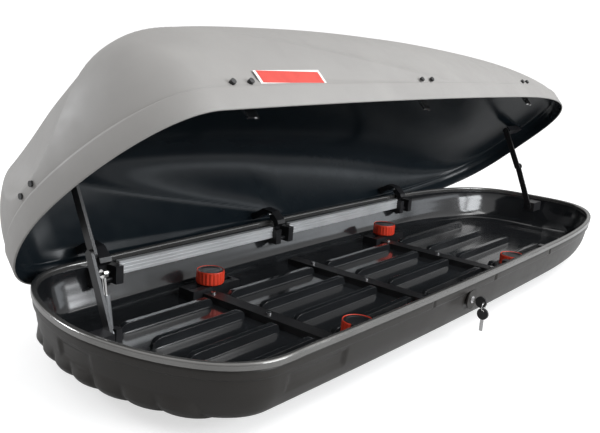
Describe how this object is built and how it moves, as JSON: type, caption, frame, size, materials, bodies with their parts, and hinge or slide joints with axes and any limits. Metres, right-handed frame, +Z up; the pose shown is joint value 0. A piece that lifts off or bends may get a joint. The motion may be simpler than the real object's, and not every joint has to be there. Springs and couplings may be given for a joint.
{
  "type": "roof cargo box",
  "caption": "Long low car roof box: ribbed black tub, domed grey lid hinged along one side and propped open, turn-knob clamps, folding lid arms and a key lock with a sliding bar.",
  "frame": {"origin": "centre of the tub's flat underside, where it rests on the roof bars", "axes": "+X along the box to its nose, +Y to the hinge side, +Z up"},
  "size_m": [1.9563, 0.7945, 0.6535],
  "materials": {
    "lid_grey": "fine-grained matt warm grey, gloss black inside",
    "tub_black": "gloss black inside, satin gunmetal outside",
    "rim_black": "polished rolled edge",
    "bar_steel": "black powder coat",
    "zinc": "bright zinc and chrome",
    "black_plastic": "fine-grained black",
    "rail_aluminium": "brushed and anodised",
    "arm_grey": "satin dark grey",
    "strut_grey": "satin grey",
    "knob_orange": "moulded orange-red",
    "claw_rubber": "rubber-coated steel",
    "label_red": "printed film, plain"
  },
  "bodies": {
    "base": {"tub": "tub_black", "rim_bead": "rim_black", "bar_rear": "bar_steel", "bar_middle": "bar_steel", "bar_front": "bar_steel", "bar_bolts": "zinc", "clamp_rear_far": "black_plastic", "clamp_rear_near": "black_plastic", "clamp_front_far": "black_plastic", "clamp_front_near": "black_plastic", "hinge_block_rear": "black_plastic", "hinge_block_middle": "black_plastic", "hinge_block_front": "black_plastic", "hinge_rail_rear": "rail_aluminium", "hinge_rail_front": "rail_aluminium", "arm_foot_tail": "black_plastic", "arm_foot_nose": "black_plastic", "strut_post": "black_plastic", "lock_housing": "zinc", "lock_guides": "black_plastic"},
    "lid": {"lid_shell": "lid_grey", "gooseneck_rear": "black_plastic", "gooseneck_middle": "black_plastic", "gooseneck_front": "black_plastic", "neck_pins": "zinc", "arm_head_tail": "black_plastic", "arm_head_nose": "black_plastic", "strikers": "zinc", "lid_screws": "zinc", "side_label": "label_red"},
    "lower_arm_tail": {"lower_arm_tail": "arm_grey"},
    "upper_arm_tail": {"upper_arm_tail": "arm_grey"},
    "lower_arm_nose": {"lower_arm_nose": "arm_grey"},
    "upper_arm_nose": {"upper_arm_nose": "arm_grey"},
    "strut_tube": {"strut_tube": "strut_grey"},
    "strut_rod": {"strut_rod": "zinc"},
    "lock_plug": {"lock_plug": "zinc", "key_blade": "zinc", "key_head": "black_plastic"},
    "spare_key": {"key_ring": "zinc", "spare_head": "black_plastic", "spare_blade": "zinc"},
    "lock_bar": {"lock_bar": "black_plastic"},
    "knob_rear_far": {"knob_ring_rear_far": "knob_orange", "knob_cap_rear_far": "black_plastic"},
    "claw_rear_far_rear": {"claw_rear_far_rear": "claw_rubber"},
    "claw_rear_far_nose": {"claw_rear_far_nose": "claw_rubber"},
    "knob_rear_near": {"knob_ring_rear_near": "knob_orange", "knob_cap_rear_near": "black_plastic"},
    "claw_rear_near_rear": {"claw_rear_near_rear": "claw_rubber"},
    "claw_rear_near_nose": {"claw_rear_near_nose": "claw_rubber"},
    "knob_front_far": {"knob_ring_front_far": "knob_orange", "knob_cap_front_far": "black_plastic"},
    "claw_front_far_rear": {"claw_front_far_rear": "claw_rubber"},
    "claw_front_far_nose": {"claw_front_far_nose": "claw_rubber"},
    "knob_front_near": {"knob_ring_front_near": "knob_orange", "knob_cap_front_near": "black_plastic"},
    "claw_front_near_rear": {"claw_front_near_rear": "claw_rubber"},
    "claw_front_near_nose": {"claw_front_near_nose": "claw_rubber"}
  },
  "joints": [
    {"name": "lid_hinge", "type": "hinge", "parent": "base", "child": "lid", "pos_m": [0, 0.274, 0.072], "axis": [1, 0, 0], "range_deg": [0, 41]},
    {"name": "lower_arm_tail_fold", "type": "hinge", "parent": "base", "child": "lower_arm_tail", "pos_m": [0, -0.02, 0.088], "axis": [1, 0, 0], "range_deg": [-29.2, 0]},
    {"name": "upper_arm_tail_fold", "type": "hinge", "parent": "lid", "child": "upper_arm_tail", "pos_m": [0, 0.097, 0.342], "axis": [1, 0, 0], "range_deg": [0, 82.6]},
    {"name": "lower_arm_nose_fold", "type": "hinge", "parent": "base", "child": "lower_arm_nose", "pos_m": [0, -0.02, 0.088], "axis": [1, 0, 0], "range_deg": [-29.2, 0]},
    {"name": "upper_arm_nose_fold", "type": "hinge", "parent": "lid", "child": "upper_arm_nose", "pos_m": [0, 0.097, 0.342], "axis": [1, 0, 0], "range_deg": [0, 82.6]},
    {"name": "strut_tilt", "type": "hinge", "parent": "base", "child": "strut_tube", "pos_m": [0, 0.005, 0.084], "axis": [1, 0, 0], "range_deg": [-31.2, 0]},
    {"name": "strut_stroke", "type": "slide", "parent": "strut_tube", "child": "strut_rod", "axis": [0, 0.1753, 0.9845], "range_m": [-0.0123, 0]},
    {"name": "knob_rear_far_turn", "type": "hinge", "parent": "base", "child": "knob_rear_far", "pos_m": [-0.448, 0.212, 0.046], "axis": [0, 0, 1], "range_deg": [0, 300]},
    {"name": "claw_rear_far_rear_swing", "type": "hinge", "parent": "base", "child": "claw_rear_far_rear", "pos_m": [-0.503, 0.212, 0.016], "axis": [0, 1, 0], "range_deg": [-10, 0]},
    {"name": "claw_rear_far_nose_swing", "type": "hinge", "parent": "base", "child": "claw_rear_far_nose", "pos_m": [-0.393, 0.212, 0.016], "axis": [0, 1, 0], "range_deg": [0, 10]},
    {"name": "knob_rear_near_turn", "type": "hinge", "parent": "base", "child": "knob_rear_near", "pos_m": [-0.448, -0.212, 0.046], "axis": [0, 0, 1], "range_deg": [0, 300]},
    {"name": "claw_rear_near_rear_swing", "type": "hinge", "parent": "base", "child": "claw_rear_near_rear", "pos_m": [-0.503, -0.212, 0.016], "axis": [0, 1, 0], "range_deg": [-10, 0]},
    {"name": "claw_rear_near_nose_swing", "type": "hinge", "parent": "base", "child": "claw_rear_near_nose", "pos_m": [-0.393, -0.212, 0.016], "axis": [0, 1, 0], "range_deg": [0, 10]},
    {"name": "knob_front_far_turn", "type": "hinge", "parent": "base", "child": "knob_front_far", "pos_m": [0.305, 0.212, 0.046], "axis": [0, 0, 1], "range_deg": [0, 300]},
    {"name": "claw_front_far_rear_swing", "type": "hinge", "parent": "base", "child": "claw_front_far_rear", "pos_m": [0.25, 0.212, 0.016], "axis": [0, 1, 0], "range_deg": [-10, 0]},
    {"name": "claw_front_far_nose_swing", "type": "hinge", "parent": "base", "child": "claw_front_far_nose", "pos_m": [0.36, 0.212, 0.016], "axis": [0, 1, 0], "range_deg": [0, 10]},
    {"name": "knob_front_near_turn", "type": "hinge", "parent": "base", "child": "knob_front_near", "pos_m": [0.305, -0.212, 0.046], "axis": [0, 0, 1], "range_deg": [0, 300]},
    {"name": "claw_front_near_rear_swing", "type": "hinge", "parent": "base", "child": "claw_front_near_rear", "pos_m": [0.25, -0.212, 0.016], "axis": [0, 1, 0], "range_deg": [-10, 0]},
    {"name": "claw_front_near_nose_swing", "type": "hinge", "parent": "base", "child": "claw_front_near_nose", "pos_m": [0.36, -0.212, 0.016], "axis": [0, 1, 0], "range_deg": [0, 10]},
    {"name": "lock_turn", "type": "hinge", "parent": "base", "child": "lock_plug", "pos_m": [-0.151, -0.31, 0.064], "axis": [0, 1, 0], "range_deg": [0, 90]},
    {"name": "lock_bar_slide", "type": "slide", "parent": "base", "child": "lock_bar", "axis": [1, 0, 0], "range_m": [0, 0.014]},
    {"name": "spare_key_swing", "type": "hinge", "parent": "lock_plug", "child": "spare_key", "pos_m": [-0.151, -0.3446, 0.064], "axis": [1, 0, 0], "range_deg": [-60, 0]}
  ],
  "couplings": [
    {"joint": "lower_arm_tail_fold", "follows": "lid_hinge", "ratio": -0.7122},
    {"joint": "upper_arm_tail_fold", "follows": "lid_hinge", "ratio": 2.0146},
    {"joint": "lower_arm_nose_fold", "follows": "lid_hinge", "ratio": -0.7122},
    {"joint": "upper_arm_nose_fold", "follows": "lid_hinge", "ratio": 2.0146},
    {"joint": "strut_tilt", "follows": "lid_hinge", "ratio": -0.76098},
    {"joint": "strut_stroke", "follows": "lid_hinge", "m_per_rad": -0.017189},
    {"joint": "claw_rear_far_rear_swing", "follows": "knob_rear_far_turn", "ratio": -0.033333},
    {"joint": "claw_rear_far_nose_swing", "follows": "knob_rear_far_turn", "ratio": 0.033333},
    {"joint": "claw_rear_near_rear_swing", "follows": "knob_rear_near_turn", "ratio": -0.033333},
    {"joint": "claw_rear_near_nose_swing", "follows": "knob_rear_near_turn", "ratio": 0.033333},
    {"joint": "claw_front_far_rear_swing", "follows": "knob_front_far_turn", "ratio": -0.033333},
    {"joint": "claw_front_far_nose_swing", "follows": "knob_front_far_turn", "ratio": 0.033333},
    {"joint": "claw_front_near_rear_swing", "follows": "knob_front_near_turn", "ratio": -0.033333},
    {"joint": "claw_front_near_nose_swing", "follows": "knob_front_near_turn", "ratio": 0.033333},
    {"joint": "lock_bar_slide", "follows": "lock_turn", "m_per_rad": 0.008913}
  ]
}
